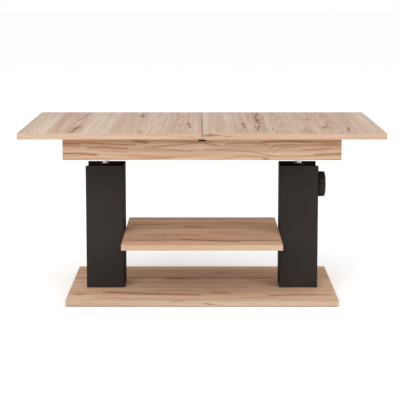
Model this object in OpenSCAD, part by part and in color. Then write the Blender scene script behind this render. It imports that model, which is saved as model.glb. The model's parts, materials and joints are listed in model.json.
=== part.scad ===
// Coffee table with a top that rises level on two telescopic columns and
// slides apart in two halves over a box that stores a folding leaf.
// Millimetres, +Z up, +X to the right, front towards -Y.
// Origin on the floor under the middle of the top.

/* [Top] */
// Length of the closed top, left to right
top_l = 1100; // [1040:10:1200]
// Depth of the top, front to back
top_d = 700; // [680:10:800]
// Thickness of the top, shelf, base and leaf panels
board_t = 18; // [16:1:19]
// Height of the closed top's upper face above the floor
total_h = 544; // [540:1:580]
// Gap at the seam between the two halves
seam = 0.6; // [0.4:0.1:1.5]
// How far each half slides outwards
half_travel = 200; // [120:10:200]

/* [Box under the top] */
// Length of the box, left to right
box_l = 840; // [820:10:900]
// Distance from the top's front edge back to the box's front face
recess = 52; // [45:1:60]
// Height of the box's aprons
apron_h = 66; // [64:1:70]
// Thickness of the aprons
apron_t = 18; // [16:1:19]
// Thickness of the box's bottom
bottom_t = 12; // [10:1:12]

/* [Columns] */
// Width of a column, left to right
col_w = 121.5; // [118:0.5:124]
// Depth of a column, front to back
col_d = 125; // [120:0.5:128]
// Distance between the two columns' inner faces
col_gap = 495; // [480:1:520]
// How far the columns and the shelf sit in front of the middle
col_fwd = 16; // [0:1:20]
// Height of the columns' upper rims
col_top = 413; // [400:1:416]
// Radius of the columns' upright corners
col_r = 5; // [3:0.5:8]
// Wall of the columns
wall = 2; // [1.5:0.5:2.5]
// Thickness of the caps sunk in the columns
cap_t = 4; // [3:0.5:6]
// Depth of the opening at the head of each column's outer side
notch_h = 12; // [8:1:16]
// Diameter of the bright lift tubes
tube_d = 20; // [18:1:22]
// How far the top rises
lift_travel = 200; // [120:10:200]

/* [Base and shelf] */
// Length of the base panel
base_l = 840; // [800:10:880]
// Depth of the base panel
base_d = 545; // [520:5:580]
// Depth of the shelf
shelf_d = 526; // [480:2:530]
// Height of the shelf's upper face
shelf_z = 195; // [185:1:230]
// Thickness of the glides
glide_t = 2; // [1:0.5:3]

/* [Clamp knob] */
// Diameter of the knob
knob_d = 81; // [60:1:90]
// Thickness of the knob
knob_t = 25.5; // [22:0.5:30]
// Height of the knob's axis
knob_z = 347; // [335:1:350]
// Diameter of the clamp's stud
stud_d = 12; // [10:1:14]
// Number of flutes round the knob
flutes = 12; // [6:1:16]

/* [Pinion and racks] */
// Tooth module
gear_m = 2; // [2:0.5:2]
// Number of teeth on the pinion
teeth = 20; // [18:2:22]

/* [Hidden] */
$fn = 64;
e = 0.01;
base_z1 = glide_t + board_t;
top_z0 = total_h - board_t;
box_z1 = top_z0 - 2;
box_z0 = box_z1 - apron_h;
floor_z = box_z0 + bottom_t;
box_y = top_d / 2 - recess;
in_y = box_y - apron_t;
in_x = box_l / 2 - apron_t;
col_x = col_gap / 2 + col_w / 2;
gt_r = 17;
gt_in = 15;
tube_x = tube_d / 2;
cw = col_w - 2 * wall;
cd = col_d - 2 * wall;
plate_t = 6;
tube_z0 = 64;
cap_z = col_top - notch_h;
tube_z1 = box_z0 - plate_t;
bush_z0 = 325;
col_face = col_x + col_w / 2;
pr = gear_m * teeth / 2;
pitch = PI * gear_m;
pin_y = 150;
gear_z0 = floor_z + 41;
gear_t = 10;
leaf_l = 700;
leaf_w = half_travel;
leaf_y1 = -20;
leaf_z0 = floor_z + 2;
leaf_mid = leaf_z0 + board_t + 0.2;
run_z0 = floor_z + 20;
run_z1 = run_z0 + 26;
dowel_y = [-250, 0, 250];
flange_holes = [[-40, -42], [40, -42], [-40, 42], [40, 42]];
head_holes = [[-62, -62], [62, -62], [-62, 62], [62, 62]];
runner_x = [-340, -120, 120, 340];
hinge_x = [-240, 0, 240];
bracket_y = [-50, 50];

// ---- helpers ----
module box3(x0, x1, y0, y1, z0, z1) { translate([x0, y0, z0]) cube([x1 - x0, y1 - y0, z1 - z0]); }

// A rectangle with round corners, centred
module round_rect(w, d, r) {
    square([w - 2 * r, d], center = true);
    square([w, d - 2 * r], center = true);
    for (x = [-1, 1], y = [-1, 1]) translate([x * (w / 2 - r), y * (d / 2 - r)]) circle(r);
}

// Puts its children on the left (-1) or right (1) column's axis
module at_col(s) { translate([s * col_x, -col_fwd, 0]) children(); }

// A countersunk screw pointing down, with its head's top at z = 0
module screw(d, l) {
    rotate_extrude() polygon([[0, 0], [d, 0], [d, -0.4], [d / 2, -0.4 - d / 2], [d / 2, -l + 1.5], [d / 2 - 1, -l], [0, -l]]);
}

// ---- base ----
module base_glides() {
    color([0.12, 0.12, 0.12])
        for (x = [-1, 1], y = [-1, 0, 1]) translate([x * (base_l / 2 - 45), y * (base_d / 2 - 40), 0]) cylinder(d = 32, h = glide_t);
}

module base_panel() {
    color([0.78, 0.66, 0.56]) difference() {
        box3(-base_l / 2, base_l / 2, -base_d / 2, base_d / 2, glide_t, base_z1);
        for (s = [-1, 1], p = flange_holes) at_col(s) translate([p[0], p[1], base_z1 - 14]) cylinder(d = 6, h = 20);
    }
}

module base_flange(s) {
    color([0.2, 0.2, 0.2]) at_col(s) difference() {
        translate([0, 0, base_z1]) linear_extrude(5) round_rect(cw - 0.4, cd - 0.4, max(1, col_r - wall));
        for (p = flange_holes) translate([p[0], p[1], base_z1 + 5]) screw_space();
    }
}

// The space for a flange screw's head and shank, from the plate's upper face down
module screw_space() {
    rotate_extrude() polygon([[0, 1], [6, 1], [6, -0.4], [3, -3.4], [3, -9], [0, -9]]);
}

module base_flange_left() { base_flange(-1); }
module base_flange_right() { base_flange(1); }

module base_screws() {
    color([0.75, 0.75, 0.78]) for (s = [-1, 1], p = flange_holes) at_col(s) translate([p[0], p[1], base_z1 + 5]) screw(6, 18);
}

// ---- outer columns ----
module column_cover(s) {
    difference() {
        at_col(s) translate([0, 0, base_z1]) linear_extrude(col_top - base_z1) difference() {
            round_rect(col_w, col_d, col_r);
            round_rect(cw, cd, max(1, col_r - wall));
        }
        at_col(s) translate([s * (col_w - wall) / 2, 0, cap_z + notch_h]) cube([wall + 1, col_d - 2 * col_r, 2 * notch_h], center = true);
        for (y = bracket_y) translate([s * (col_gap / 2 - 1), y - col_fwd, shelf_z - board_t - 16]) rotate([0, s * 90, 0]) cylinder(d = 5, h = wall + 2);
        if (s > 0) translate([col_face - wall - 1, -col_fwd, knob_z]) rotate([0, 90, 0]) cylinder(d = 24, h = wall + 2);
    }
}

module column_cover_left() { color([0.22, 0.19, 0.18]) column_cover(-1); }
module column_cover_right() { color([0.22, 0.19, 0.18]) column_cover(1); }

// Cap sunk in the column's head, with a hole for the guide tube
module column_cap(s) {
    color([0.08, 0.08, 0.08]) at_col(s) difference() {
        translate([0, 0, cap_z - 14]) linear_extrude(14) round_rect(cw, cd, max(1, col_r - wall));
        translate([0, 0, cap_z - 15]) linear_extrude(15 - cap_t) round_rect(cw - 6, cd - 6, 1.5);
        translate([0, 0, cap_z - cap_t - 1]) cylinder(r = gt_r + 0.2, h = cap_t + 2);
    }
}
module column_cap_left() { column_cap(-1); }
module column_cap_right() { column_cap(1); }

// Steel tube that stands on the flange inside the column
module guide_tube(s) {
    color([0.2, 0.2, 0.2]) at_col(s) difference() {
        translate([0, 0, base_z1 + 5]) rotate_extrude() polygon([[gt_in, 0], [24, 0], [24, 4], [gt_r, 4], [gt_r, col_top - base_z1 - 12], [gt_in, col_top - base_z1 - 12]]);
        if (s > 0) translate([gt_in - 2, 0, knob_z]) rotate([0, 90, 0]) cylinder(d = 12.4, h = 6);
    }
}
module guide_tube_left() { guide_tube(-1); }
module guide_tube_right() { guide_tube(1); }

// Plastic bush in the guide tube's mouth, with a collar on the tube's end
module guide_bush(s) {
    color([0.1, 0.1, 0.1]) at_col(s) difference() {
        rotate_extrude() polygon([[tube_x + 0.05, bush_z0], [gt_in, bush_z0], [gt_in, col_top - 7], [gt_r, col_top - 7], [gt_r, col_top + 0.7],
            [gt_r - 0.5, col_top + 1.2], [tube_x + 1, col_top + 1.2], [tube_x + 0.05, col_top + 0.4]]);
        if (s > 0) translate([tube_x - 2, 0, knob_z]) rotate([0, 90, 0]) cylinder(d = 12.4, h = 10);
    }
}
module guide_bush_left() { guide_bush(-1); }
module guide_bush_right() { guide_bush(1); }

// Fixed rod whose piston works inside the lift tube
module piston_rod(s) {
    color([0.85, 0.85, 0.87]) at_col(s) {
        translate([0, 0, base_z1 + 5]) cylinder(r = 4, h = 250);
        translate([0, 0, base_z1 + 5]) cylinder(r = 12, h = 6);
        translate([0, 0, base_z1 + 255]) cylinder(r = tube_x - 2.6, h = 14);
    }
}
module piston_rod_left() { piston_rod(-1); }
module piston_rod_right() { piston_rod(1); }

// ---- shelf ----
module shelf_panel() {
    color([0.78, 0.66, 0.56]) difference() {
        translate([0, 1, 0]) box3(-col_gap / 2 + 0.1, col_gap / 2 - 0.1, -col_fwd - shelf_d / 2, -col_fwd + shelf_d / 2, shelf_z - board_t, shelf_z);
        for (s = [-1, 1], y = bracket_y) translate([s * (col_gap / 2 - 24), y - col_fwd, shelf_z - board_t - e]) cylinder(d = 4, h = 12);
    }
}

module shelf_brackets() {
    color([0.2, 0.2, 0.2]) for (s = [-1, 1], y = bracket_y) translate([s * col_gap / 2, y - col_fwd, shelf_z - board_t]) difference() {
        union() {
            translate([s > 0 ? -36 : 0, -20, -2.5]) cube([36, 40, 2.5]);
            translate([s > 0 ? -2.5 : 0, -20, -32]) cube([2.5, 40, 32]);
        }
        translate([-s * 24, 0, -3]) cylinder(d = 4, h = 4);
        translate([-s * 3, 0, -16]) rotate([0, s * 90, 0]) cylinder(d = 5, h = 4);
    }
}

module shelf_screws() {
    color([0.75, 0.75, 0.78]) for (s = [-1, 1], y = bracket_y) translate([s * col_gap / 2, y - col_fwd, shelf_z - board_t]) {
        translate([-s * 24, 0, -2.5]) { cylinder(d = 4, h = 14); translate([0, 0, -2.2]) cylinder(d = 8, h = 2.2); }
        translate([-s * 2.5, 0, -16]) rotate([0, s * 90, 0]) { cylinder(d = 5, h = 2.5 + wall); translate([0, 0, -3]) cylinder(d = 9, h = 3); }
    }
}

// ---- clamp ----
module clamp_bush() {
    color([0.16, 0.15, 0.15]) translate([col_face, -col_fwd, knob_z]) rotate([0, 90, 0]) rotate_extrude()
        polygon([[stud_d / 2 + 0.05, -43.5], [12, -43.5], [12, 0], [20, 0], [20, 1], [19.8, 1.2], [stud_d / 2 + 0.05, 1.2]]);
}

module clamp_pad() {
    color([0.25, 0.25, 0.25]) translate([col_x + tube_x + 0.35, -col_fwd, knob_z]) rotate([0, 90, 0]) cylinder(d = 11.6, h = 4);
}

module clamp_stud() {
    color([0.75, 0.75, 0.78]) translate([col_x + tube_x + 4.35, -col_fwd, knob_z]) rotate([0, 90, 0]) cylinder(d = stud_d, h = col_face + 18 - col_x - tube_x - 4.35);
}

module clamp_knob() {
    color([0.13, 0.12, 0.12]) translate([col_face + 2, -col_fwd, knob_z]) rotate([0, 90, 0]) difference() {
        rotate_extrude() polygon(concat([[0, 0], [knob_d / 2 - 2, 0], [knob_d / 2, 2]],
            [for (a = [90:-15:0]) [knob_d / 2 - 6 + 6 * sin(a), knob_t - 8.4 + 6 * cos(a)]],
            [for (r = [0.75:-0.15:0]) [r * knob_d / 2, knob_t - 3 * r * r]]));
        for (i = [0:flutes - 1]) rotate(360 * (i + 0.5) / flutes) translate([knob_d / 2 + 3.4, 0, -1]) cylinder(r = 6, h = knob_t + 2);
        translate([0, 0, -1]) cylinder(d = stud_d, h = 17);
    }
}

// ---- lift tubes ----
// Bright tube that rises with the box, closed at its head, with a gland at its foot
module lift_tube(s) {
    color([0.85, 0.84, 0.87]) at_col(s) translate([0, 0, tube_z0]) rotate_extrude()
        polygon([[4.05, 0], [tube_x, 0], [tube_x, tube_z1 - tube_z0], [0, tube_z1 - tube_z0], [0, tube_z1 - tube_z0 - 6],
            [tube_x - 2.5, tube_z1 - tube_z0 - 6], [tube_x - 2.5, 10], [4.05, 10]]);
}
module lift_tube_left() { lift_tube(-1); }
module lift_tube_right() { lift_tube(1); }

// Plastic bush round the lift tube's foot
module foot_bush(s) {
    color([0.85, 0.85, 0.82]) at_col(s) translate([0, 0, tube_z0 + 2]) rotate_extrude()
        polygon([[tube_x, 0], [gt_in - 1, 0], [gt_in - 0.05, 1], [gt_in - 0.05, 24], [gt_in - 1, 25], [tube_x, 25]]);
}
module foot_bush_left() { foot_bush(-1); }
module foot_bush_right() { foot_bush(1); }

module head_plate(s) {
    color([0.13, 0.13, 0.13]) at_col(s) difference() {
        translate([0, 0, tube_z1]) linear_extrude(plate_t) round_rect(148, 148, 8);
        for (p = head_holes) translate([p[0], p[1], tube_z1 - 1]) cylinder(d = 6, h = plate_t + 2);
    }
}
module head_plate_left() { head_plate(-1); }
module head_plate_right() { head_plate(1); }

module head_screws() {
    color([0.2, 0.2, 0.2]) for (s = [-1, 1], p = head_holes) at_col(s) translate([p[0], p[1], tube_z1]) {
        cylinder(d = 6, h = plate_t + 9);
        translate([0, 0, -3]) difference() {
            cylinder(d = 11, h = 3);
            translate([0, 0, -1]) cylinder(d = 4, h = 2.5, $fn = 6);
        }
    }
}

// ---- box ----
module box_bottom() {
    color([0.78, 0.66, 0.56]) difference() {
        box3(-in_x, in_x, -in_y, in_y, box_z0, floor_z);
        for (s = [-1, 1], p = head_holes) at_col(s) translate([p[0], p[1], box_z0 - 1]) cylinder(d = 6, h = 10);
    }
}

// Front and rear apron, with a notch for the centre stop
module long_apron(s) {
    y0 = s > 0 ? in_y : -box_y;
    difference() {
        box3(-box_l / 2, box_l / 2, y0, y0 + apron_t, box_z0, box_z1);
        box3(-11, 11, s * box_y - 8, s * box_y + 8, box_z1 - 9, box_z1 + 1);
        for (x = runner_x) translate([x, s * in_y, run_z0 + 3 + 5]) rotate([-s * 90, 0, 0]) translate([0, 0, -1]) cylinder(d = 3, h = 11);
    }
}
module apron_front() { color([0.8, 0.66, 0.54]) long_apron(-1); }
module apron_rear() { color([0.8, 0.66, 0.54]) long_apron(1); }

// Left and right apron, notched where the sliding runners pass
module short_apron(s) {
    difference() {
        box3(s > 0 ? in_x : -box_l / 2, s > 0 ? box_l / 2 : -in_x, -in_y, in_y, box_z0, box_z1);
        for (t = [-1, 1]) box3(s > 0 ? in_x - 1 : -box_l / 2 - 1, s > 0 ? box_l / 2 + 1 : -in_x + 1,
            t > 0 ? in_y - 20.5 : -in_y + 1.5, t > 0 ? in_y - 1.5 : -in_y + 20.5, run_z0 + 2, box_z1 + 1);
    }
}
module apron_left() { color([0.8, 0.66, 0.54]) short_apron(-1); }
module apron_right() { color([0.8, 0.66, 0.54]) short_apron(1); }

module corner_blocks() {
    color([0.72, 0.58, 0.42]) for (sx = [-1, 1], sy = [-1, 1]) translate([sx * in_x, sy * in_y, floor_z])
        linear_extrude(18) polygon([[0, 0], [-sx * 50, 0], [0, -sy * 50]]);
}

module centre_stops() {
    color([0.06, 0.06, 0.06]) for (s = [-1, 1]) {
        box3(-11, 11, s > 0 ? box_y - 8 : -box_y - 0.8, s > 0 ? box_y + 0.8 : -box_y + 8, box_z1 - 9, box_z1 + 0.8);
    }
}

// ---- runners ----
// Channel along X, against the front (-1) or rear (1) apron's inner face
module fixed_runner(s) {
    difference() {
        box3(-in_x + 7, in_x - 7, s > 0 ? in_y - 22 : -in_y, s > 0 ? in_y : -in_y + 22, run_z0, run_z1);
        box3(-in_x, in_x, s > 0 ? in_y - 19 : -in_y + 3, s > 0 ? in_y - 3 : -in_y + 19, run_z0 + 3, run_z1 - 3);
        box3(-in_x, in_x, s > 0 ? in_y - 15 : -in_y + 7, s > 0 ? in_y - 7 : -in_y + 15, run_z1 - 4, run_z1 + 1);
        for (x = runner_x) translate([x, s * in_y, run_z0 + 8]) rotate([-s * 90, 0, 0]) translate([0, 0, -4]) cylinder(d1 = 6, d2 = 3, h = 4.01);
    }
}
module fixed_runner_front() { color([0.75, 0.76, 0.78]) fixed_runner(-1); }
module fixed_runner_rear() { color([0.75, 0.76, 0.78]) fixed_runner(1); }

module runner_screws() {
    color([0.75, 0.75, 0.78]) for (s = [-1, 1], x = runner_x) translate([x, s * in_y, run_z0 + 8]) rotate([-s * 90, 0, 0]) {
        translate([0, 0, -2.9]) cylinder(d1 = 5, d2 = 3, h = 2.9);
        cylinder(d = 3, h = 10);
    }
}

module sliding_runners(s) {
    for (t = [-1, 1]) {
        x0 = s > 0 ? 6 : -in_x + 7;
        x1 = s > 0 ? in_x - 7 : -6;
        box3(x0, x1, t > 0 ? in_y - 18.5 : -in_y + 3.5, t > 0 ? in_y - 3.5 : -in_y + 18.5, run_z0 + 11.5, run_z1 - 3.5);
        box3(x0, x1, t > 0 ? in_y - 14 : -in_y + 8, t > 0 ? in_y - 8 : -in_y + 14, run_z1 - 4, top_z0);
    }
}
module sliding_runners_left() { color([0.7, 0.71, 0.73]) sliding_runners(-1); }
module sliding_runners_right() { color([0.7, 0.71, 0.73]) sliding_runners(1); }

// ---- pinion and racks ----
module pinion_post() {
    color([0.75, 0.75, 0.78]) translate([0, pin_y, floor_z]) {
        cylinder(d = 44, h = 3);
        cylinder(d = 16, h = gear_z0 - floor_z - 0.3);
        cylinder(d = 8, h = gear_z0 - floor_z + gear_t);
    }
}

module sync_pinion() {
    color([0.9, 0.9, 0.88]) translate([0, pin_y, gear_z0]) linear_extrude(gear_t) difference() {
        union() {
            circle(pr - 1.25 * gear_m);
            for (i = [0:teeth - 1]) rotate(360 * i / teeth) polygon([
                [pr - 1.6 * gear_m, -0.33 * pitch], [pr - 1.25 * gear_m, -0.30 * pitch], [pr, -0.19 * pitch], [pr + 0.8 * gear_m, -0.09 * pitch],
                [pr + 0.8 * gear_m, 0.09 * pitch], [pr, 0.19 * pitch], [pr - 1.25 * gear_m, 0.30 * pitch], [pr - 1.6 * gear_m, 0.33 * pitch]]);
        }
        circle(4.05);
    }
}

// Rack along X whose teeth point at the pinion. side: 1 behind the pinion, -1 in front
module rack(side, n0, n1, m0, m1) {
    h0 = 0.8 * gear_m;
    h1 = 1.35 * gear_m;
    off = teeth % 4 == 0 ? 0.5 : 0;
    translate([0, pin_y, gear_z0]) {
        linear_extrude(gear_t) scale([1, side]) polygon(concat(
            [for (i = [n0:n1]) for (p = [[-0.30, h1], [-0.09, -h0], [0.09, -h0], [0.30, h1]]) [(i + off + p[0]) * pitch, pr + p[1]]],
            [[(n1 + off + 0.5) * pitch, pr + h1], [(n1 + off + 0.5) * pitch, pr + h1 + 9], [(n0 + off - 0.5) * pitch, pr + h1 + 9], [(n0 + off - 0.5) * pitch, pr + h1]]));
        translate([m0, side > 0 ? pr + h1 + 1 : -pr - h1 - 9, gear_t - 1]) cube([m1 - m0, 8, top_z0 - gear_z0 - gear_t + 1]);
    }
}
module rack_left() { color([0.9, 0.9, 0.88]) rack(1, -28, 35, -170, -12); }
module rack_right() { color([0.9, 0.9, 0.88]) rack(-1, -36, 27, 12, 170); }

// ---- stored leaf ----
module leaf_rests() {
    color([0.2, 0.2, 0.2]) for (x = [-250, 250]) box3(x - 12, x + 12, leaf_y1 - leaf_w + 5, leaf_y1 - 5, floor_z, leaf_z0);
}
module leaf_panel_lower() { color([0.8, 0.68, 0.58]) box3(-leaf_l / 2, leaf_l / 2, leaf_y1 - leaf_w, leaf_y1, leaf_z0, leaf_z0 + board_t); }
module leaf_panel_upper() { color([0.8, 0.68, 0.58]) box3(-leaf_l / 2, leaf_l / 2, leaf_y1 - leaf_w, leaf_y1, leaf_z0 + board_t + 0.4, leaf_z0 + 2 * board_t + 0.4); }

// Hinge plates on the leaf's edge with knuckles round the pin. s: -1 lower, 1 upper
module leaf_hinge(s) {
    k = 20;
    for (x = hinge_x) translate([x, leaf_y1, leaf_mid]) difference() {
        union() {
            translate([-30, 0, s > 0 ? 3.4 : -15.4]) cube([60, 1.5, 12]);
            for (i = s > 0 ? [0] : [-1, 1]) {
                translate([i * k - 9.9, 3.1, 0]) rotate([0, 90, 0]) cylinder(r = 3, h = 19.8);
                translate([i * k - 9.9, 0.1, s > 0 ? 0 : -4]) cube([19.8, 1.4, 4]);
            }
        }
        translate([-31, 3.1, 0]) rotate([0, 90, 0]) cylinder(r = 1.5, h = 62);
    }
}
module leaf_hinges_lower() { color([0.8, 0.8, 0.8]) leaf_hinge(-1); }
module leaf_hinges_upper() { color([0.8, 0.8, 0.8]) leaf_hinge(1); }
module leaf_hinge_pins() {
    color([0.7, 0.7, 0.7]) for (x = hinge_x) translate([x - 30, leaf_y1 + 3.1, leaf_mid]) rotate([0, 90, 0]) cylinder(r = 1.5, h = 60);
}

// ---- top halves ----
module top_half(s, r) {
    difference() {
        box3(s > 0 ? seam / 2 : -top_l / 2, s > 0 ? top_l / 2 : -seam / 2, -top_d / 2, top_d / 2, top_z0, total_h);
        for (y = dowel_y) translate([s > 0 ? -1 : -16, y, total_h - board_t / 2]) rotate([0, 90, 0]) cylinder(r = r, h = 17);
    }
}
module top_half_left() { color([0.8, 0.7, 0.6]) top_half(-1, 4); }
module top_half_right() { color([0.8, 0.7, 0.6]) top_half(1, 4.1); }

module top_dowels() {
    color([0.85, 0.75, 0.6]) for (y = dowel_y) translate([-16, y, total_h - board_t / 2]) rotate([0, 90, 0])
        rotate_extrude() polygon([[0, 0], [4, 0], [4, 27], [3, 29], [0, 29]]);
}

base_glides();
base_panel();
base_flange_left();
base_flange_right();
base_screws();
column_cover_left();
column_cover_right();
column_cap_left();
column_cap_right();
guide_tube_left();
guide_tube_right();
guide_bush_left();
guide_bush_right();
piston_rod_left();
piston_rod_right();
shelf_panel();
shelf_brackets();
shelf_screws();
clamp_bush();
clamp_pad();
clamp_stud();
clamp_knob();
lift_tube_left();
lift_tube_right();
foot_bush_left();
foot_bush_right();
head_plate_left();
head_plate_right();
head_screws();
box_bottom();
apron_front();
apron_rear();
apron_left();
apron_right();
corner_blocks();
centre_stops();
fixed_runner_front();
fixed_runner_rear();
runner_screws();
pinion_post();
leaf_rests();
leaf_panel_lower();
leaf_panel_upper();
leaf_hinges_lower();
leaf_hinges_upper();
leaf_hinge_pins();
top_half_left();
sliding_runners_left();
rack_left();
top_dowels();
top_half_right();
sliding_runners_right();
rack_right();
sync_pinion();
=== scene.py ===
# Coffee table: materials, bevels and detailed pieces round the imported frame.
import math, json
import bpy, bmesh
from mathutils import Vector, Matrix


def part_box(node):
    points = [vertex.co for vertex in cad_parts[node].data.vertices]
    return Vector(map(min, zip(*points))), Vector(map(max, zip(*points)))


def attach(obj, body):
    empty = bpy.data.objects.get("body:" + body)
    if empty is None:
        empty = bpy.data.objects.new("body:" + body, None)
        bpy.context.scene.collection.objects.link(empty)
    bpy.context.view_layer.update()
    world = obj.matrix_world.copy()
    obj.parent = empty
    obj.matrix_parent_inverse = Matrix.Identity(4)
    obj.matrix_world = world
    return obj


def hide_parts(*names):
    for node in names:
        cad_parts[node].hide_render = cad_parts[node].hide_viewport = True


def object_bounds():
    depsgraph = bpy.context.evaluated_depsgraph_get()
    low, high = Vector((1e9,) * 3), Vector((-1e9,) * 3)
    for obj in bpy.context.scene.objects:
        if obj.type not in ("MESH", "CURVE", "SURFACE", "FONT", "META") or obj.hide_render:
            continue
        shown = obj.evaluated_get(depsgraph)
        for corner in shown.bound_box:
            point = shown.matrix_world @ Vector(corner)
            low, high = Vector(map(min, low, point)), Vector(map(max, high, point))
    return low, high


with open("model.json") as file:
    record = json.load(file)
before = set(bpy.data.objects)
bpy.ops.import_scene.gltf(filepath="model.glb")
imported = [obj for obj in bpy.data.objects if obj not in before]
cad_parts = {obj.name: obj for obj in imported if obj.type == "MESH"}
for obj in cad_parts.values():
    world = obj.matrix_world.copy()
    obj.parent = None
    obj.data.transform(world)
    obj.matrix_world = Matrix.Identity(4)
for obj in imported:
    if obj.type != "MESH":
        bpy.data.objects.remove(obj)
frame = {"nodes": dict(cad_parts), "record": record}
N = frame["nodes"]
cad_lo, cad_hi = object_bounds()
cad_lo, cad_hi = list(cad_lo), list(cad_hi)
scene = bpy.context.scene
scene.view_settings.view_transform = "Standard"
scene.view_settings.look = "None"
scene.view_settings.exposure = 0.0
scene.view_settings.gamma = 1.0


# ------------------------------------------------------------------ helpers
def lin(rgb, gain=1.0):
    """sRGB 0..255 to linear, times a gain."""
    out = []
    for c in rgb:
        c = c / 255.0
        out.append(min(1.0, gain * (c / 12.92 if c <= 0.04045 else ((c + 0.055) / 1.055) ** 2.4)))
    return (*out, 1.0)


class G:
    """A small wrapper that adds nodes to a tree and links what it is given."""

    def __init__(self, tree):
        self.t = tree
        self.x = 0

    def n(self, kind, **props):
        node = self.t.nodes.new(kind)
        node.location = (self.x, -200 * (self.x // 2000))
        self.x += 40
        for k, v in props.items():
            setattr(node, k, v)
        return node

    def put(self, sock, v):
        if isinstance(v, bpy.types.NodeSocket):
            self.t.links.new(v, sock)
        elif v is not None:
            sock.default_value = v

    def m(self, op, a, b=None, c=None, clamp=False):
        node = self.n("ShaderNodeMath", operation=op, use_clamp=clamp)
        self.put(node.inputs[0], a)
        self.put(node.inputs[1], b)
        self.put(node.inputs[2], c)
        return node.outputs[0]

    def vm(self, op, a, b=None, scale=None):
        node = self.n("ShaderNodeVectorMath", operation=op)
        self.put(node.inputs[0], a)
        if b is not None:
            self.put(node.inputs[1], b)
        if scale is not None:
            self.put(node.inputs[3], scale)
        return node.outputs[1] if op in ("DOT_PRODUCT", "LENGTH", "DISTANCE") else node.outputs[0]

    def sep(self, v):
        node = self.n("ShaderNodeSeparateXYZ")
        self.put(node.inputs[0], v)
        return node.outputs[0], node.outputs[1], node.outputs[2]

    def comb(self, x, y, z):
        node = self.n("ShaderNodeCombineXYZ")
        for s, v in zip(node.inputs, (x, y, z)):
            self.put(s, v)
        return node.outputs[0]

    def noise(self, v, scale=1.0, detail=2.0, rough=0.5, dist=0.0, colour=False):
        node = self.n("ShaderNodeTexNoise")
        self.put(node.inputs["Vector"], v)
        self.put(node.inputs["Scale"], scale)
        self.put(node.inputs["Detail"], detail)
        self.put(node.inputs["Roughness"], rough)
        self.put(node.inputs["Distortion"], dist)
        return node.outputs["Color" if colour else "Fac"]

    def rng(self, v, a, b, c=0.0, d=1.0, smooth=False):
        node = self.n("ShaderNodeMapRange", interpolation_type="SMOOTHSTEP" if smooth else "LINEAR", clamp=True)
        for s, x in zip(node.inputs[:5], (v, a, b, c, d)):
            self.put(s, x)
        return node.outputs[0]

    def mix(self, fac, a, b, blend="MIX"):
        node = self.n("ShaderNodeMix", data_type="RGBA", blend_type=blend)
        node.clamp_factor = True
        self.put(node.inputs[0], fac)
        self.put(node.inputs[6], a)
        self.put(node.inputs[7], b)
        return node.outputs[2]

    def vmix(self, fac, a, b):
        node = self.n("ShaderNodeMix", data_type="VECTOR")
        self.put(node.inputs[0], fac)
        self.put(node.inputs[4], a)
        self.put(node.inputs[5], b)
        return node.outputs[1]

    def ramp(self, fac, stops, interp="LINEAR"):
        node = self.n("ShaderNodeValToRGB")
        cr = node.color_ramp
        cr.interpolation = interp
        while len(cr.elements) < len(stops):
            cr.elements.new(0.5)
        for e, (p, c) in zip(cr.elements, stops):
            e.position = p
            e.color = c
        self.put(node.inputs[0], fac)
        return node.outputs[0]

    def bump(self, height, strength, distance, normal=None):
        node = self.n("ShaderNodeBump")
        node.inputs["Strength"].default_value = strength
        node.inputs["Distance"].default_value = distance
        self.put(node.inputs["Height"], height)
        if normal is not None:
            self.put(node.inputs["Normal"], normal)
        return node.outputs["Normal"]


def new_mat(name):
    mat = bpy.data.materials.new(name)
    mat.use_nodes = True
    t = mat.node_tree
    bsdf = t.nodes["Principled BSDF"]
    return mat, G(t), bsdf


def assign(obj, mat):
    if not obj.data.materials:
        obj.data.materials.append(mat)
    for i in range(len(obj.data.materials)):
        obj.data.materials[i] = mat
    return obj


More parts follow.
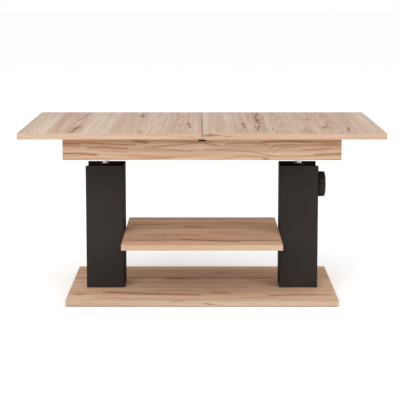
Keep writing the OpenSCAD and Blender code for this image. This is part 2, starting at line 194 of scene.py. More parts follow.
# ------------------------------------------------------------------ oak decor
def decor_group():
    """Printed oak in edge-glued strips: x of the vector runs along the grain, y across it, z picks the sheet."""
    gt = bpy.data.node_groups.new("oak_decor", "ShaderNodeTree")
    gt.interface.new_socket("Vector", in_out="INPUT", socket_type="NodeSocketVector")
    outs = ("Tone", "Band", "Line", "Streak", "Fibre", "Knot", "Crack")
    for s in outs:
        gt.interface.new_socket(s, in_out="OUTPUT", socket_type="NodeSocketFloat")
    g = G(gt)
    gi = g.n("NodeGroupInput").outputs[0]
    go = g.n("NodeGroupOutput")
    x, y, z = g.sep(gi)
    width = 0.112

    def white(a, b):
        n = g.n("ShaderNodeTexWhiteNoise", noise_dimensions="2D")
        g.put(n.inputs["Vector"], g.comb(a, b, 0.0))
        return g.sep(n.outputs["Color"])

    # strips of the print, with slightly wandering joints
    jw = g.noise(g.comb(g.m("MULTIPLY", x, 1.6), 0.0, z), 1.0, 2.0)
    u = g.m("MULTIPLY", g.m("MULTIPLY_ADD", jw, 0.008, y), 1.0 / width)
    strip, part = g.m("FLOOR", u), g.m("FRACT", u)
    r1, r2, r3 = white(strip, z)
    r4, r5, r6 = white(g.m("ADD", strip, 57.3), z)
    xs = g.m("MULTIPLY_ADD", r2, 9.0, x)
    zs = g.m("MULTIPLY_ADD", r5, 11.0, z)
    # the figure wanders sideways a little
    wa = g.noise(g.comb(g.m("MULTIPLY", xs, 1.7), g.m("MULTIPLY", y, 7.0), zs), 1.0, 2.0)
    wb = g.noise(g.comb(g.m("MULTIPLY", xs, 8.0), g.m("MULTIPLY", y, 26.0), zs), 1.0, 2.0)
    off = g.m("ADD", g.m("MULTIPLY", g.m("SUBTRACT", wa, 0.5), 0.030), g.m("MULTIPLY", g.m("SUBTRACT", wb, 0.5), 0.0045))
    # knots push the figure round themselves
    vor = g.n("ShaderNodeTexVoronoi", feature="F1", voronoi_dimensions="3D")
    g.put(vor.inputs["Vector"], g.comb(g.m("MULTIPLY", xs, 2.4), g.m("MULTIPLY", y, 6.5), zs))
    vor.inputs["Scale"].default_value = 1.0
    kd = vor.outputs["Distance"]
    kr, kg, kb = g.sep(vor.outputs["Color"])
    halo = g.m("MULTIPLY", g.rng(kd, 0.0, 0.36, 1.0, 0.0, True), g.m("GREATER_THAN", kr, 0.62))
    yw = g.m("ADD", y, off)
    streak = g.noise(g.comb(g.m("MULTIPLY", xs, 1.3), g.m("MULTIPLY", yw, 75.0), zs), 1.0, 4.0, 0.62)
    fibre = g.noise(g.comb(g.m("MULTIPLY", xs, 16.0), g.m("MULTIPLY", yw, 650.0), zs), 1.0, 3.0, 0.6)
    band = g.noise(g.comb(g.m("MULTIPLY", xs, 0.5), g.m("MULTIPLY", yw, 17.0), zs), 1.0, 3.0, 0.55)
    # growth lines: nested arches about each strip's heart, which may lie outside it
    dy = g.m("ADD", g.m("MULTIPLY", g.m("SUBTRACT", part, g.m("MULTIPLY_ADD", r1, 2.0, -0.5)), width), off)
    ring = g.m("ADD", g.m("MULTIPLY", g.m("MULTIPLY", dy, dy), 1150.0), g.m("MULTIPLY", xs, g.m("MULTIPLY_ADD", r6, 5.0, 3.0)))
    ring = g.m("ADD", ring, g.m("MULTIPLY", halo, 2.6))
    ring = g.m("MULTIPLY_ADD", g.m("SUBTRACT", streak, 0.5), 1.1, ring)

    def saw(v, lo_):
        f = g.m("FRACT", v)
        return g.m("MULTIPLY", g.rng(f, lo_, 0.95, 0.0, 1.0, True), g.rng(f, 0.95, 1.0, 1.0, 0.0))

    part_on = g.rng(g.noise(g.comb(g.m("MULTIPLY", xs, 1.5), g.m("MULTIPLY", yw, 14.0), g.m("ADD", zs, 5.0)), 1.0, 2.0), 0.36, 0.62, 0.15, 1.0, True)
    line = g.m("MULTIPLY", g.m("MAXIMUM", saw(ring, 0.45), g.m("MULTIPLY", saw(g.m("MULTIPLY", ring, 3.3), 0.4), 0.45)), part_on)
    tone = g.m("ADD", g.m("MULTIPLY", r3, 0.62), g.m("MULTIPLY", r4, 0.38))
    core = g.m("MULTIPLY", g.rng(g.m("MULTIPLY_ADD", g.m("SUBTRACT", streak, 0.5), 0.10, kd), 0.02, 0.085, 1.0, 0.0, True), g.m("GREATER_THAN", kr, 0.84))
    knot = g.m("MAXIMUM", core, g.m("MULTIPLY", halo, 0.20))
    # short cracks that follow the grain, in a few places only
    cr = g.noise(g.comb(g.m("MULTIPLY", xs, 3.4), g.m("MULTIPLY", yw, 60.0), g.m("ADD", zs, 3.7)), 1.0, 3.0, 0.6)
    cm = g.noise(g.comb(g.m("MULTIPLY", xs, 2.6), g.m("MULTIPLY", yw, 11.0), g.m("ADD", zs, 9.1)), 1.0, 2.0)
    crack = g.m("MULTIPLY", g.rng(g.m("ABSOLUTE", g.m("SUBTRACT", cr, 0.5)), 0.006, 0.030, 1.0, 0.0, True), g.rng(cm, 0.62, 0.70, 0.0, 1.0, True))
    for s, v in zip(outs, (tone, band, line, streak, fibre, knot, crack)):
        g.put(go.inputs[s], v)
    return gt


DECOR = decor_group()

# sRGB: pale, middle, warm, growth line, dark mark. Partly painted light: the "top" rows are paler and greyer as a
# painted sheen of the top's grazing reflection. The "base" rows (base, shelf, box bottom) are redder and more saturated
# as painted shade beneath the table. The rest is the decor's own tone.
PAL = {
    "top": ((216, 201, 182), (202, 180, 162), (190, 163, 144), (160, 121, 98), (92, 50, 32)),
    "edge": ((208, 186, 162), (198, 170, 144), (186, 154, 127), (168, 130, 104), (120, 80, 56)),
    "apron": ((213, 189, 163), (196, 165, 137), (178, 134, 104), (148, 98, 69), (100, 56, 34)),
    "base": ((213, 186, 158), (197, 163, 134), (178, 139, 112), (150, 106, 80), (98, 58, 40)),
}


GAIN = {"top": 0.83, "edge": 0.67, "apron": 0.74, "base": 1.02, "shelf": 0.97}


def strokes(g, p, lines, wobble=0.012, along="X"):
    """Dark marks of the print along polylines: each is (points in m, half width in m[, strength]). Returns a mask."""
    stretch = (0.35, 1.0, 1.0) if along == "X" else (1.0, 0.35, 1.0)
    wn = g.noise(g.vm("MULTIPLY", p, stretch), 48.0, 3.0, 0.6, colour=True)
    wv = g.vm("MULTIPLY", g.vm("SUBTRACT", wn, (0.5, 0.5, 0.5)), (wobble, wobble, 0.0))
    pw = g.vm("MULTIPLY", g.vm("ADD", p, wv), (1.0, 1.0, 0.0))
    jag = g.m("MULTIPLY_ADD", g.noise(g.vm("MULTIPLY", p, stretch), 150.0, 3.0, 0.7), 1.8, -0.85)
    total = around = None
    for line in lines:
        pts, w = line[0], line[1]
        k = line[2] if len(line) > 2 else 1.0
        best = None
        for a, b in zip(pts, pts[1:]):
            a, b = Vector((*a, 0.0)), Vector((*b, 0.0))
            ba = b - a
            pa = g.vm("SUBTRACT", pw, tuple(a))
            h = g.m("MULTIPLY", g.vm("DOT_PRODUCT", pa, tuple(ba)), 1.0 / ba.length_squared, clamp=True)
            d = g.vm("LENGTH", g.vm("SUBTRACT", pa, g.vm("SCALE", tuple(ba), scale=h)))
            best = d if best is None else g.m("MINIMUM", best, d)
        mk = g.rng(g.m("ADD", g.m("MULTIPLY", best, 1.4 / w), jag), 0.1, 1.2, k, 0.0, True)
        hk = g.rng(g.m("MULTIPLY", best, 1.0 / w), 0.2, 3.6, 0.55 * k, 0.0, True)
        total = mk if total is None else g.m("MAXIMUM", total, mk)
        around = hk if around is None else g.m("MAXIMUM", around, hk)
    return total, around


def strips(g, v, zones):
    """Soft tone zones across a board: (centre, half width, amount) in m; adds them up."""
    total = None
    for c, w, k in zones:
        t = g.m("MULTIPLY", g.rng(g.m("ABSOLUTE", g.m("SUBTRACT", v, c)), w * 0.7, w * 1.25, 1.0, 0.0, True), k)
        total = t if total is None else g.m("ADD", total, t)
    return total


def board(node, grain="X", face="top", edge="edge", lines=(), zones=(), seed=0.0, gain=1.0, egain=1.0, band=True, contrast=1.0, tones=1.0, shift=0.0, seam_shadow=False):
    """A melamine-faced board: printed oak on its faces, edge band with the grain along each edge."""
    o = N[node]
    lo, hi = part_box(node)
    mat, g, bsdf = new_mat("oak_" + node)
    tc = g.n("ShaderNodeTexCoord")
    p, nrm = tc.outputs["Object"], tc.outputs["Normal"]
    x, y, z = g.sep(p)
    nx, ny, nz = g.sep(g.vm("ABSOLUTE", nrm))
    zb = g.m("SUBTRACT", z, lo.z - 0.018)
    flat = {"X": g.comb(x, g.m("ADD", y, 0.731 * seed), seed), "Y": g.comb(y, g.m("ADD", x, shift), seed + 0.37)}[grain]
    side_y = g.comb(x, zb, g.m("MULTIPLY_ADD", g.m("SIGN", y), 1.7, seed + 11.3))
    side_x = g.comb(y, zb, g.m("MULTIPLY_ADD", g.m("SIGN", x), 1.3, seed + 23.9))
    is_flat = g.m("GREATER_THAN", nz, 0.65)
    is_y = g.m("GREATER_THAN", ny, nx)
    vec = g.vmix(is_flat, g.vmix(is_y, side_x, side_y), flat)
    grp = g.n("ShaderNodeGroup")
    grp.node_tree = DECOR
    g.put(grp.inputs[0], vec)
    tone_, bnd, line, stk, fib, knot, crack = (grp.outputs[k] for k in ("Tone", "Band", "Line", "Streak", "Fibre", "Knot", "Crack"))

    def tone(pal, gn, zn=None, flat_only=False):
        c = [lin(v, gn) for v in PAL[pal]]
        t = g.m("ADD", g.m("MULTIPLY", tone_, 0.55 * tones), g.m("MULTIPLY", g.m("SUBTRACT", bnd, 0.5), 2.2 * tones))
        t = g.m("ADD", t, 0.5 - 0.275 * tones)
        if zn is not None:
            t = g.m("ADD", t, zn)
        col = g.mix(g.rng(t, 0.0, 0.5), c[0], c[1])
        col = g.mix(g.rng(t, 0.5, 1.0), col, c[2])
        col = g.mix(g.m("MULTIPLY", g.rng(stk, 0.40, 0.66, 0.0, 1.0, True), 0.30 * contrast), col, c[3])
        col = g.mix(g.m("MULTIPLY", g.rng(stk, 0.36, 0.50, 1.0, 0.0, True), 0.35 * contrast), col, c[0])
        col = g.mix(g.m("MULTIPLY", line, 0.42 * contrast), col, c[3])
        return col, c

    zn = None
    if zones:
        zn = strips(g, y if grain == "X" else x, zones)
    if face == "apron" and zones:
        zn = strips(g, z, zones)
    cf, c = tone(face, gain, zn)
    ce, ec = tone(edge, egain)
    d = g.m("MINIMUM", g.m("MINIMUM", g.m("SUBTRACT", x, lo.x), g.m("SUBTRACT", hi.x, x)), g.m("MINIMUM", g.m("SUBTRACT", y, lo.y), g.m("SUBTRACT", hi.y, y)))
    on_face = 1.0
    if face != "apron":
        on_face = g.m("MULTIPLY", is_flat, g.m("GREATER_THAN", d, 0.0009)) if band else is_flat
    col = g.mix(on_face, ce, cf)
    col = g.mix(g.m("MULTIPLY", g.rng(fib, 0.35, 0.7, 1.0, 0.0), 0.16), col, c[3])
    col = g.mix(g.m("MULTIPLY", knot, 0.75), col, c[4])
    col = g.mix(g.m("MULTIPLY", crack, 0.6), col, c[4])
    if lines:
        horizontal = face != "apron"
        sp = g.comb(x, y, 0.0) if horizontal else g.comb(x, z, 0.0)
        mk, hk = strokes(g, sp, lines, 0.008 if horizontal else 0.004, grain)
        here = is_flat if horizontal else g.m("GREATER_THAN", ny, 0.65)
        col = g.mix(g.m("MULTIPLY", hk, here), col, c[3])
        col = g.mix(g.m("MULTIPLY", mk, g.m("MULTIPLY", here, 0.88)), col, c[4])
    if face == "apron":  # painted shade: a redder, warmer tone along the board's top stands in for the shade under the top's overhang
        col = g.mix(g.m("MULTIPLY", g.rng(z, 0.509, 0.523, 0.0, 1.0, True), 0.34), col, lin((228, 160, 120), gain * 1.25))
    if band and face != "apron":
        joint = g.m("MULTIPLY", is_flat, g.m("MULTIPLY", g.m("GREATER_THAN", d, 0.00085), g.m("LESS_THAN", d, 0.00115)))
        col = g.mix(g.m("MULTIPLY", joint, 0.35), col, c[4])
    if seam_shadow:
        # painted shade: a dark brown line 1 mm either side of x=0 on the top halves stands in for the shadow in the gap
        # between them
        col = g.mix(g.m("MULTIPLY", g.m("LESS_THAN", g.m("ABSOLUTE", x), 0.0010), 0.75), col, lin((46, 30, 22)))
    g.put(bsdf.inputs["Base Color"], col)
    g.put(bsdf.inputs["Roughness"], g.rng(g.m("ADD", stk, g.m("MULTIPLY", fib, 0.4)), 0.35, 1.0, 0.44, 0.60))
    bsdf.inputs["Specular IOR Level"].default_value = 0.0
    bsdf.inputs["Coat Weight"].default_value = 0.12
    g.put(bsdf.inputs["Coat Roughness"], g.rng(fib, 0.3, 0.7, 0.34, 0.48))
    pore = g.m("SUBTRACT", g.m("MULTIPLY", fib, 0.7), g.m("MULTIPLY", g.m("MAXIMUM", crack, knot), 0.8))
    g.put(bsdf.inputs["Normal"], g.bump(pore, 0.22, 0.00035))
    assign(o, mat)
    return mat


# ------------------------------------------------------------------ other finishes
def coat_mat(name, rgb, rough=0.45, grain=900.0, strength=0.18, spec=0.5, tint=0.12, coat=0.0):
    """Powder coat: fine orange peel, slight colour drift."""
    mat, g, bsdf = new_mat(name)
    p = g.n("ShaderNodeTexCoord").outputs["Object"]
    big = g.noise(p, 5.0, 3.0, 0.5)
    fine = g.noise(p, grain, 2.0, 0.6)
    mid = g.noise(p, grain / 5.0, 2.0, 0.5)
    c0 = tuple(v * (1 - tint) for v in rgb) + (1.0,)
    c1 = tuple(v * (1 + tint) for v in rgb) + (1.0,)
    g.put(bsdf.inputs["Base Color"], g.mix(g.rng(g.m("ADD", g.m("MULTIPLY", big, 0.7), g.m("MULTIPLY", fine, 0.3)), 0.35, 0.65), c0, c1))
    g.put(bsdf.inputs["Roughness"], g.rng(mid, 0.3, 0.7, rough - 0.05, rough + 0.06))
    bsdf.inputs["Specular IOR Level"].default_value = spec
    bsdf.inputs["Coat Weight"].default_value = coat
    g.put(bsdf.inputs["Coat Roughness"], g.rng(mid, 0.3, 0.7, rough - 0.12, rough))
    g.put(bsdf.inputs["Normal"], g.bump(g.m("ADD", g.m("MULTIPLY", fine, 0.7), g.m("MULTIPLY", mid, 0.3)), strength, 0.0003))
    return mat


def metal_mat(name, rgb, rough=0.3, axis="Z", lines=600.0, strength=0.08, blotch=0.1, metallic=1.0):
    """Plated or drawn metal: fine lines along one axis, faint blotches."""
    mat, g, bsdf = new_mat(name)
    p = g.n("ShaderNodeTexCoord").outputs["Object"]
    s = {"X": (0.02, 1.0, 1.0), "Y": (1.0, 0.02, 1.0), "Z": (1.0, 1.0, 0.02), "N": (1.0, 1.0, 1.0)}[axis]
    drawn = g.noise(g.vm("MULTIPLY", p, s), lines, 3.0, 0.6)
    bl = g.noise(p, 60.0, 3.0, 0.6)
    c0 = tuple(v * (1 - blotch) for v in rgb) + (1.0,)
    g.put(bsdf.inputs["Base Color"], g.mix(g.rng(bl, 0.35, 0.65), c0, tuple(rgb) + (1.0,)))
    bsdf.inputs["Metallic"].default_value = metallic
    g.put(bsdf.inputs["Roughness"], g.rng(g.m("ADD", g.m("MULTIPLY", drawn, 0.6), g.m("MULTIPLY", bl, 0.4)), 0.3, 0.7, rough - 0.06, rough + 0.08))
    g.put(bsdf.inputs["Normal"], g.bump(drawn, strength, 0.0002))
    return mat


def plastic_mat(name, rgb, rough=0.45, grain=1400.0, strength=0.12, spec=0.5):
    mat, g, bsdf = new_mat(name)
    p = g.n("ShaderNodeTexCoord").outputs["Object"]
    fine = g.noise(p, grain, 2.0, 0.7)
    big = g.noise(p, 25.0, 2.0, 0.5)
    c0 = tuple(v * 0.88 for v in rgb) + (1.0,)
    c1 = tuple(min(1.0, v * 1.1) for v in rgb) + (1.0,)
    g.put(bsdf.inputs["Base Color"], g.mix(g.rng(g.m("ADD", g.m("MULTIPLY", big, 0.6), g.m("MULTIPLY", fine, 0.4)), 0.35, 0.65), c0, c1))
    g.put(bsdf.inputs["Roughness"], g.rng(fine, 0.3, 0.7, rough - 0.06, rough + 0.08))
    bsdf.inputs["Specular IOR Level"].default_value = spec
    g.put(bsdf.inputs["Normal"], g.bump(fine, strength, 0.0002))
    return mat


def raw_wood_mat(name, axis="X"):
    mat, g, bsdf = new_mat(name)
    p = g.n("ShaderNodeTexCoord").outputs["Object"]
    s = {"X": (3.0, 60.0, 60.0), "Z": (60.0, 60.0, 3.0)}[axis]
    a = g.noise(g.vm("MULTIPLY", p, s), 1.0, 5.0, 0.6)
    f = g.noise(g.vm("MULTIPLY", p, tuple(6 * v for v in s)), 1.0, 2.0, 0.6)
    col = g.ramp(a, [(0.3, lin((226, 194, 150))), (0.5, lin((212, 174, 124))), (0.7, lin((184, 140, 92)))])
    g.put(bsdf.inputs["Base Color"], g.mix(g.m("MULTIPLY", g.rng(f, 0.4, 0.7), 0.25), col, lin((160, 116, 72))))
    g.put(bsdf.inputs["Roughness"], g.rng(a, 0.3, 0.7, 0.62, 0.78))
    g.put(bsdf.inputs["Normal"], g.bump(f, 0.3, 0.0004))
    return mat


def felt_mat(name, rgb):
    mat, g, bsdf = new_mat(name)
    p = g.n("ShaderNodeTexCoord").outputs["Object"]
    f = g.noise(p, 700.0, 5.0, 0.8)
    g.put(bsdf.inputs["Base Color"], g.mix(g.rng(f, 0.3, 0.7), tuple(v * 0.6 for v in rgb) + (1.0,), tuple(v * 1.3 for v in rgb) + (1.0,)))
    bsdf.inputs["Roughness"].default_value = 0.95
    bsdf.inputs["Sheen Weight"].default_value = 0.3
    g.put(bsdf.inputs["Normal"], g.bump(f, 0.8, 0.001))
    return mat


# ------------------------------------------------------------------ modifiers on the CAD nodes
def soften(node, width, seg=2, angle=35):
    """Breaks the sharp edges of a CAD node with modifiers only."""
    o = N[node]
    w = o.modifiers.new("weld", "WELD")
    w.merge_threshold = 0.00001
    b = o.modifiers.new("arris", "BEVEL")
    b.width = width
    b.segments = seg
    b.limit_method = "ANGLE"
    b.angle_limit = math.radians(angle)
    b.use_clamp_overlap = True
    b.harden_normals = True
    b.miter_outer = "MITER_ARC"
    return o


# ------------------------------------------------------------------ mesh pieces
def mesh_piece(name, verts, faces, smooth=True):
    me = bpy.data.meshes.new(name)
    me.from_pydata(verts, [], faces)
    me.validate()
    me.update()
    o = bpy.data.objects.new(name, me)
    scene.collection.objects.link(o)
    bm = bmesh.new()
    bm.from_mesh(me)
    bmesh.ops.recalc_face_normals(bm, faces=bm.faces)
    bm.to_mesh(me)
    bm.free()
    if smooth:
        for p in me.polygons:
            p.use_smooth = True
    return o


# ------------------------------------------------------------------ camera and light
def make_camera():
    cam = bpy.data.cameras.new("camera")
    cam.sensor_width = 36.0
    cam.lens = 1476.6 * 36.0 / 400.0
    cam.shift_x = -0.0051
    cam.clip_start, cam.clip_end = 0.1, 100.0
    o = bpy.data.objects.new("camera", cam)
    scene.collection.objects.link(o)
    top_front = cad_lo[1]
    o.location = (0.0, top_front - 4.3646, 1.0009)
    o.rotation_euler = (math.radians(90.0 - 8.5555), 0.0, 0.0)
    scene.camera = o


def make_light():
    w = bpy.data.worlds.new("studio")
    w.use_nodes = True
    bg = w.node_tree.nodes["Background"]
    bg.inputs["Color"].default_value = (1.0, 1.0, 1.0, 1.0)
    bg.inputs["Strength"].default_value = 1.0
    scene.world = w
    for name, loc, size, power in (("key", (-1.1, -4.0, 2.3), 3.0, 135.0), ("fill", (2.8, -3.0, 2.2), 2.4, 45.0)):
        l = bpy.data.lights.new(name, "AREA")
        l.shape = "RECTANGLE"
        l.size = l.size_y = size
        l.energy = power
        o = bpy.data.objects.new(name, l)
        scene.collection.objects.link(o)
        o.location = loc
        o.rotation_euler = (Vector((0, 0, 0.3)) - Vector(loc)).to_track_quat("-Z", "Y").to_euler()
    # floor
    r = 40.0
    o = mesh_piece("floor", [(-r, -r, 0), (r, -r, 0), (r, r, 0), (-r, r, 0)], [(0, 1, 2, 3)], smooth=False)
    o.location.z = cad_lo[2] - 0.0002
    mat, g, bsdf = new_mat("pale_floor")
    p = g.n("ShaderNodeTexCoord").outputs["Object"]
    n = g.noise(p, 3.0, 3.0)
    g.put(bsdf.inputs["Base Color"], g.mix(g.rng(n, 0.3, 0.7), (0.985, 0.985, 0.985, 1), (0.992, 0.992, 0.992, 1)))
    bsdf.inputs["Roughness"].default_value = 0.8
    bsdf.inputs["Specular IOR Level"].default_value = 0.05
    out = mat.node_tree.nodes["Material Output"]
    see, mixs = g.n("ShaderNodeBsdfTransparent"), g.n("ShaderNodeMixShader")
    g.put(mixs.inputs[0], g.n("ShaderNodeNewGeometry").outputs["Backfacing"])
    g.put(mixs.inputs[1], bsdf.outputs[0])
    g.put(mixs.inputs[2], see.outputs[0])
    g.put(out.inputs["Surface"], mixs.outputs[0])
    assign(o, mat)


make_camera()
make_light()

# ------------------------------------------------------------------ boards
# dark marks of the print: cracks and small knots, in m on the board's own face
top_l = [
    ([(-0.392, -0.330), (-0.388, -0.262), (-0.385, -0.230)], 0.0034), ([(-0.390, -0.225), (-0.386, -0.188), (-0.383, -0.160)], 0.0070), ([(-0.383, -0.150), (-0.381, -0.095)], 0.0026),
    ([(-0.398, 0.040), (-0.392, 0.140), (-0.385, 0.300)], 0.0022, 0.8),
    ([(-0.198, 0.275), (-0.201, 0.215), (-0.197, 0.165)], 0.0042), ([(-0.190, -0.040), (-0.187, -0.090)], 0.0028, 0.4), ([(-0.187, -0.280), (-0.184, -0.325)], 0.0036, 0.65),
    ([(-0.045, -0.030), (-0.043, -0.075), (-0.036, -0.100)], 0.0044), ([(-0.041, -0.118), (-0.036, -0.190)], 0.0030),
    ([(-0.118, 0.060), (-0.114, 0.180)], 0.0016, 0.5), ([(-0.292, 0.120), (-0.286, 0.240)], 0.0014, 0.45), ([(-0.300, -0.120), (-0.297, -0.240)], 0.0013, 0.4),
]
top_r = [
    ([(0.128, -0.030), (0.131, -0.070), (0.128, -0.110)], 0.0042), ([(0.132, -0.125), (0.129, -0.195)], 0.0030),
    ([(0.186, 0.300), (0.180, 0.215), (0.176, 0.150)], 0.0034), ([(0.174, 0.130), (0.180, 0.070), (0.176, 0.010), (0.184, -0.050)], 0.0052), ([(0.180, -0.105), (0.173, -0.190), (0.169, -0.275)], 0.0032),
    ([(0.205, 0.190), (0.197, 0.080)], 0.0018, 0.6), ([(0.153, 0.250), (0.150, 0.110)], 0.0014, 0.5),
    ([(0.345, 0.130), (0.341, 0.060)], 0.0030), ([(0.377, -0.140), (0.380, -0.195)], 0.0062, 0.8), ([(0.396, -0.060), (0.392, -0.160)], 0.0018, 0.6),
    ([(0.450, -0.165), (0.447, -0.235), (0.443, -0.305)], 0.0030), ([(0.060, 0.040), (0.064, 0.170)], 0.0014, 0.45), ([(0.268, -0.080), (0.272, -0.230)], 0.0014, 0.45),
]
zone_l = [(-0.505, 0.040, -0.22), (-0.415, 0.045, 0.27), (-0.318, 0.046, -0.22), (-0.225, 0.040, 0.09), (-0.150, 0.034, -0.16), (-0.050, 0.050, 0.22)]
zone_r = [(0.300, 0.500, 0.08), (0.045, 0.042, -0.18), (0.150, 0.055, 0.26), (0.245, 0.034, 0.02), (0.365, 0.060, 0.30), (0.450, 0.022, -0.06), (0.515, 0.040, -0.24)]
base_lines = [([(-0.388, -0.182), (-0.377, -0.178)], 0.0085), ([(-0.300, -0.150), (-0.190, -0.166), (-0.110, -0.180), (-0.013, -0.190)], 0.0062), ([(-0.234, -0.176), (-0.120, -0.184)], 0.0050, 0.7), ([(-0.060, 0.066), (-0.023, 0.060)], 0.0050, 0.8),
              ([(0.215, -0.196), (0.300, -0.186), (0.400, -0.190)], 0.0060), ([(-0.110, 0.067), (-0.050, 0.063)], 0.0085), ([(0.058, 0.166), (0.086, 0.170)], 0.0075, 0.8),
              ([(0.040, -0.158), (0.078, -0.164)], 0.0090, 0.8), ([(-0.395, 0.050), (-0.340, 0.060)], 0.0050, 0.6), ([(0.150, 0.055), (0.232, 0.075)], 0.0050, 0.6), ([(-0.330, -0.225), (-0.240, -0.232)], 0.0036, 0.6),
              ([(0.010, -0.090), (0.140, -0.082)], 0.0046, 0.5), ([(-0.180, 0.190), (-0.060, 0.186)], 0.0046, 0.5), ([(0.120, -0.236), (0.230, -0.228)], 0.0036, 0.5), ([(-0.140, -0.110), (-0.030, -0.120)], 0.0044, 0.45)]
shelf_lines = [([(-0.060, -0.184), (0.015, -0.200), (0.060, -0.212), (0.110, -0.220)], 0.0070), ([(0.110, -0.204), (0.215, -0.198)], 0.0046, 0.7), ([(-0.048, 0.056), (-0.008, 0.048)], 0.0085, 0.9),
               ([(-0.225, 0.092), (-0.120, 0.098)], 0.0062, 0.7), ([(-0.180, -0.110), (-0.040, -0.098)], 0.0046, 0.6), ([(0.060, 0.140), (0.190, 0.126)], 0.0052, 0.6), ([(-0.215, -0.205), (-0.110, -0.215)], 0.0040, 0.6), ([(0.020, -0.060), (0.120, -0.066)], 0.0044, 0.5)]
base_zone = [(-0.235, 0.030, -0.12), (-0.150, 0.050, 0.10), (0.060, 0.070, 0.16), (0.210, 0.050, 0.10)]
shelf_zone = [(-0.240, 0.030, -0.16), (-0.170, 0.030, 0.10), (0.080, 0.060, 0.14)]
apron_lines = [([(-0.205, 0.5165), (-0.186, 0.5140), (-0.166, 0.5115)], 0.0030), ([(-0.345, 0.4960), (-0.300, 0.4975), (-0.262, 0.4940), (-0.225, 0.4930)], 0.0016, 0.75), ([(-0.420, 0.4775), (-0.370, 0.4780), (-0.318, 0.4740)], 0.0018),
               ([(0.186, 0.4620), (0.199, 0.4602)], 0.0022, 0.8), ([(0.340, 0.4742), (0.385, 0.4765), (0.420, 0.4775)], 0.0013), ([(0.202, 0.4925), (0.224, 0.5020), (0.262, 0.5058), (0.300, 0.5035)], 0.0011, 0.55),
               ([(0.214, 0.4800), (0.232, 0.4920), (0.252, 0.4975), (0.300, 0.4960)], 0.0010, 0.5), ([(0.180, 0.5130), (0.250, 0.5160), (0.330, 0.5125)], 0.0015, 0.8), ([(-0.418, 0.5080), (-0.350, 0.5100), (-0.240, 0.5050), (-0.200, 0.5060)], 0.0022, 0.6),
               ([(-0.150, 0.4985), (-0.075, 0.5030), (-0.030, 0.5085), (0.030, 0.5150)], 0.0014, 0.7), ([(0.010, 0.4890), (0.090, 0.4890), (0.160, 0.4815), (0.215, 0.4700)], 0.0011, 0.55), ([(-0.225, 0.4745), (-0.140, 0.4700)], 0.0011, 0.5),
               ([(0.300, 0.4880), (0.390, 0.4940)], 0.0012, 0.5), ([(-0.060, 0.5150), (-0.010, 0.5125), (0.050, 0.5020)], 0.0015, 0.7), ([(-0.175, 0.4970), (-0.100, 0.4890), (-0.030, 0.4850)], 0.0010, 0.5),
               ([(-0.300, 0.4850), (-0.230, 0.4825)], 0.0010, 0.45), ([(0.070, 0.5060), (0.140, 0.5110), (0.200, 0.5060)], 0.0012, 0.6), ([(0.100, 0.4720), (0.200, 0.4660)], 0.0009, 0.4)]
# tone zones up the apron (centre, half width, amount, in m of z). The narrow band at z 0.519 is painted shade, the
# shade under the top's overhang. The others make the tone darker towards the top and lighter near the bottom.
apron_tone_and_shade_zones = [(0.492, 0.080, 0.24), (0.519, 0.009, 0.20), (0.503, 0.005, 0.10), (0.472, 0.012, -0.10)]
board("top_half_left", "Y", "top", lines=top_l, zones=zone_l, seed=0.0, gain=GAIN["top"], egain=GAIN["edge"], contrast=0.85, tones=0.5, seam_shadow=True)
board("top_half_right", "Y", "top", lines=top_r, zones=zone_r, seed=4.2, gain=GAIN["top"], egain=GAIN["edge"], contrast=0.85, tones=0.5, seam_shadow=True)
board("leaf_panel_lower", "Y", "top", seed=7.7, gain=GAIN["top"], egain=GAIN["edge"])
board("leaf_panel_upper", "Y", "top", seed=9.4, gain=GAIN["top"], egain=GAIN["edge"])
board("base_panel", "X", "base", lines=base_lines, zones=base_zone, seed=1.6, gain=GAIN["base"], egain=GAIN["edge"])
board("shelf_panel", "X", "base", lines=shelf_lines, zones=shelf_zone, seed=3.1, gain=GAIN["shelf"], egain=1.1 * GAIN["edge"])
board("box_bottom", "X", "base", seed=5.5, gain=GAIN["base"], egain=GAIN["edge"])
board("apron_front", "X", "apron", "apron", lines=apron_lines, zones=apron_tone_and_shade_zones, seed=2.3, gain=GAIN["apron"], egain=GAIN["apron"], contrast=1.45, tones=1.1)
board("apron_rear", "X", "apron", "apron", seed=6.1, gain=GAIN["apron"], egain=GAIN["apron"], contrast=1.15)
board("apron_left", "X", "apron", "apron", seed=8.8, gain=GAIN["apron"], egain=GAIN["apron"], contrast=1.15)
board("apron_right", "X", "apron", "apron", seed=10.2, gain=GAIN["apron"], egain=GAIN["apron"], contrast=1.15)
for n in ("top_half_left", "top_half_right", "leaf_panel_lower", "leaf_panel_upper", "base_panel", "shelf_panel"):
    soften(n, 0.0009, 3)
for n in ("apron_front", "apron_rear", "apron_left", "apron_right", "box_bottom"):
    soften(n, 0.0006, 2)

# ------------------------------------------------------------------ metal and plastic
column = coat_mat("column_paint", (0.0236, 0.0195, 0.0176), rough=0.44, grain=1100.0, strength=0.16, spec=0.0, coat=0.10)
black = coat_mat("black_steel", (0.012, 0.012, 0.012), rough=0.38, grain=800.0, strength=0.12)
cap = plastic_mat("cap_plastic", (0.0045, 0.0035, 0.003), rough=0.6, spec=0.03)
blackp = plastic_mat("black_plastic", (0.005, 0.0045, 0.004), rough=0.5, spec=0.06)
whitep = plastic_mat("white_plastic", (0.72, 0.72, 0.68), rough=0.4)
rubber = plastic_mat("rubber", (0.03, 0.03, 0.03), rough=0.7, grain=500.0, strength=0.3, spec=0.3)
glide = plastic_mat("glide", (0.02, 0.02, 0.02), rough=0.55)
knobp = plastic_mat("knob_plastic", (0.011, 0.009, 0.008), rough=0.42, grain=1800.0, strength=0.2, spec=0.2)
bright = metal_mat("bright_tube", (0.66, 0.66, 0.68), rough=0.22, axis="Z", lines=900.0, strength=0.03, blotch=0.03, metallic=1.0)
zinc = metal_mat("zinc", (0.72, 0.73, 0.74), rough=0.34, axis="N", lines=400.0, strength=0.12, blotch=0.18)
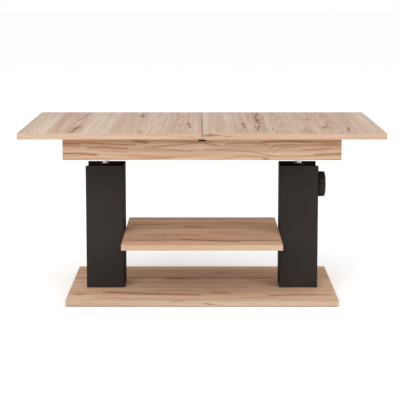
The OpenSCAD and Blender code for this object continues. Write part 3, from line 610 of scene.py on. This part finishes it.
chrome = metal_mat("chrome", (0.80, 0.80, 0.82), rough=0.12, axis="Z", lines=900.0, strength=0.03, blotch=0.04)
alu = metal_mat("aluminium", (0.78, 0.79, 0.80), rough=0.36, axis="X", lines=900.0, strength=0.15, blotch=0.06)
raw = raw_wood_mat("raw_wood", "Z")
raw_x = raw_wood_mat("raw_wood_x", "X")
felt = felt_mat("felt", (0.045, 0.045, 0.05))
BY_SLOT = {"column_paint": column, "black_steel": black, "cap_plastic": cap, "black_plastic": blackp, "white_plastic": whitep, "rubber": rubber, "glide": glide,
           "knob_plastic": knobp, "bright_steel": bright, "zinc": zinc, "chrome": chrome, "aluminium": alu, "raw_wood": raw, "felt": felt}
for s in frame["record"]["subparts"]:
    if s["material_slot"] in BY_SLOT:
        assign(N[s["node"]], BY_SLOT[s["material_slot"]])
assign(N["top_dowels"], raw_x)
for n, w in (("column_cover_left", 0.0006), ("column_cover_right", 0.0006), ("column_cap_left", 0.0006), ("column_cap_right", 0.0006), ("head_plate_left", 0.001), ("head_plate_right", 0.001),
             ("centre_stops", 0.0012), ("shelf_brackets", 0.0006), ("corner_blocks", 0.001), ("base_glides", 0.0005), ("fixed_runner_front", 0.0004), ("fixed_runner_rear", 0.0004),
             ("sliding_runners_left", 0.0006), ("sliding_runners_right", 0.0006), ("pinion_post", 0.0005)):
    soften(n, w, 2)


# ------------------------------------------------------------------ clamp knob
def make_knob():
    """Moulded knob: fluted rim with soft lands, domed face with a shallow ring and a cap in its middle."""
    lo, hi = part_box("clamp_knob")
    cy, cz = (lo.y + hi.y) / 2, (lo.z + hi.z) / 2
    R = (hi.z - lo.z) / 2
    t = hi.x - lo.x
    x0 = lo.x
    flutes, steps = 12, 12 * 16
    prof = []  # (radius, x, how much of the flute it carries)
    prof += [(0.0062, 0.0, 0), (0.016, 0.0, 0), (0.0165, 0.0012, 0), (0.022, 0.0016, 0), (0.0225, 0.0002, 0), (R - 0.0060, 0.0, 0.5), (R - 0.0022, 0.0003, 0.9), (R - 0.0006, 0.0014, 1), (R, 0.0034, 1)]
    zr = t - 0.0084
    prof += [(R, 0.008, 1), (R, zr, 1)]
    for a in (20, 40, 60, 80):
        a = math.radians(a)
        prof.append((R - 0.006 + 0.006 * math.cos(a), zr + 0.006 * math.sin(a), 1 - 0.35 * a))
    for f in (0.78, 0.66, 0.54):
        prof.append((f * R, t - 0.003 * f * f, 0.12 if f > 0.7 else 0))
    prof += [(0.0175, t - 0.0007, 0), (0.0168, t - 0.0014, 0), (0.0155, t - 0.0014, 0), (0.0148, t - 0.0004, 0), (0.008, t - 0.0001, 0)]
    verts, faces = [], []
    for r, x, k in prof:
        for i in range(steps):
            th = 2 * math.pi * i / steps
            # flutes: narrow rounded hollows between wide lands
            ph = (i % 16) / 16.0
            s = math.cos(2 * math.pi * (ph - 0.5)) * 0.5 + 0.5
            dip = 0.0027 * (s ** 2.2) * max(0.0, k)
            rr = r - dip
            verts.append((x0 + x, cy + rr * math.cos(th), cz + rr * math.sin(th)))
    n = len(prof)
    for j in range(n - 1):
        for i in range(steps):
            a, b = j * steps + i, j * steps + (i + 1) % steps
            faces.append((a, b, b + steps, a + steps))
    verts.append((x0 + t, cy, cz))
    c = len(verts) - 1
    for i in range(steps):
        faces.append(((n - 1) * steps + i, (n - 1) * steps + (i + 1) % steps, c))
    # inside of the bore
    base = len(verts)
    for i in range(steps):
        th = 2 * math.pi * i / steps
        verts.append((x0 + 0.015, cy + 0.0062 * math.cos(th), cz + 0.0062 * math.sin(th)))
    for i in range(steps):
        faces.append((i, base + i, base + (i + 1) % steps, (i + 1) % steps))
    faces.append(tuple(base + i for i in range(steps)))
    o = mesh_piece("clamp_knob_moulded", verts, faces)
    assign(o, knobp)
    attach(o, "knob")
    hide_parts("clamp_knob")
    return o


make_knob()
